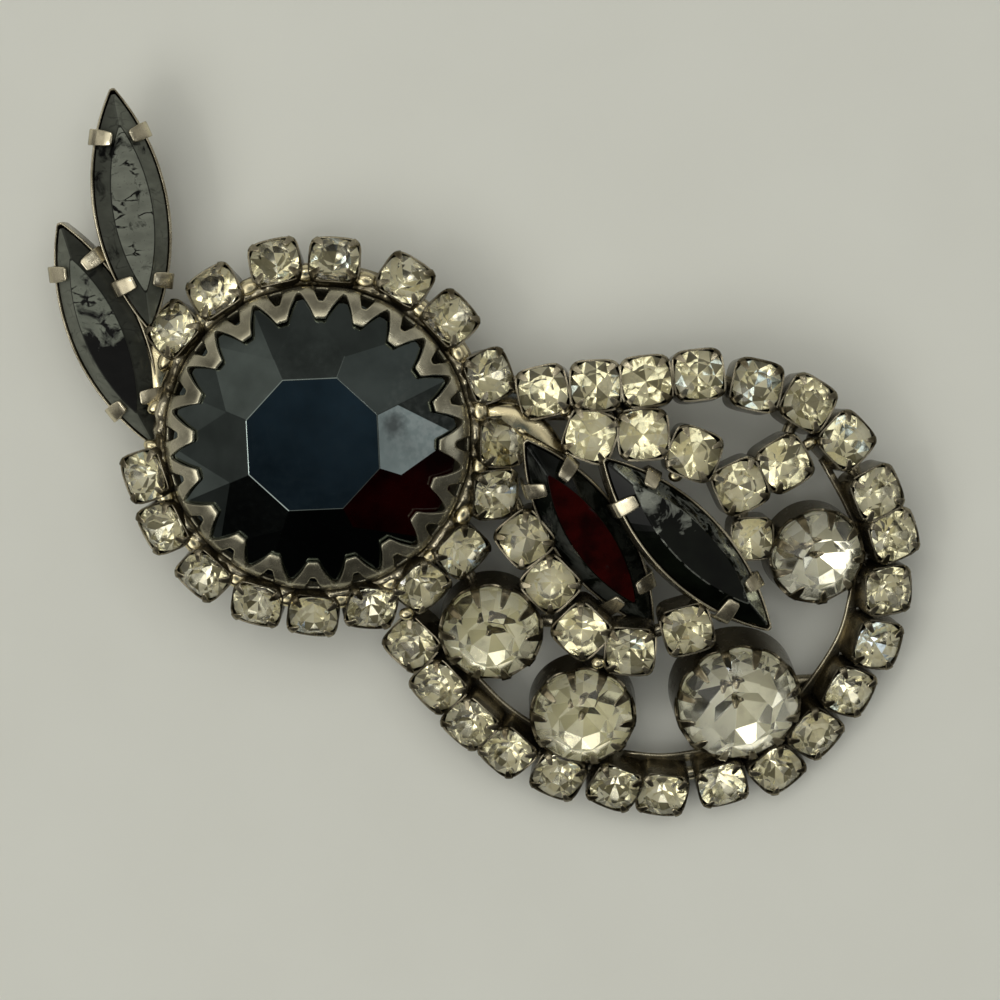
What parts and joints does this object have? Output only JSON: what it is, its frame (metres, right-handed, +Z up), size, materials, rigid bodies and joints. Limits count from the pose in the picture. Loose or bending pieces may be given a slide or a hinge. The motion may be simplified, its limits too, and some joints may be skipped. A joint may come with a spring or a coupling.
{
  "type": "rhinestone brooch",
  "caption": "Costume brooch: a large dark faceted stone in a pierced crown, a ring of small clear stones, two dark leaf stones and a domed openwork wing, with a bar pin behind.",
  "frame": {"origin": "under the middle of the brooch's outline, on the surface that it lies on", "axes": "+Z up out of the face of the brooch, +X to the right along its longest extent, from the leaves to the wing, +Y up the face"},
  "size_m": [0.0576, 0.0488, 0.0102],
  "materials": {
    "frame_metal": "tarnished, glossy on the high edges, near black in the recesses",
    "crown_metal": "tarnished, with bright worn prong tips",
    "pin_metal": "dull plated metal",
    "centre_glass": "dark glass with a worn dark metallic coating",
    "leaf_glass": "grey metallic coating, cracked and worn",
    "dark_red_glass": "very dark red glass, glossy",
    "black_glass": "near black glass with patches of worn grey coating",
    "clear_glass": "pale yellowed glass with a silvered back"
  },
  "bodies": {
    "root": {"soldered_frame": "frame_metal", "crown_setting": "crown_metal", "pin_back": "pin_metal", "centre_stone": "centre_glass", "leaf_stone_upper": "leaf_glass", "leaf_stone_lower": "leaf_glass", "wing_stone_left": "dark_red_glass", "wing_stone_right": "black_glass", "round_stone_left": "clear_glass", "round_stone_low": "clear_glass", "round_stone_large": "clear_glass", "round_stone_right": "clear_glass", "ring_stones": "clear_glass", "loop_stones": "clear_glass", "inner_stones": "clear_glass"}
  },
  "joints": []
}
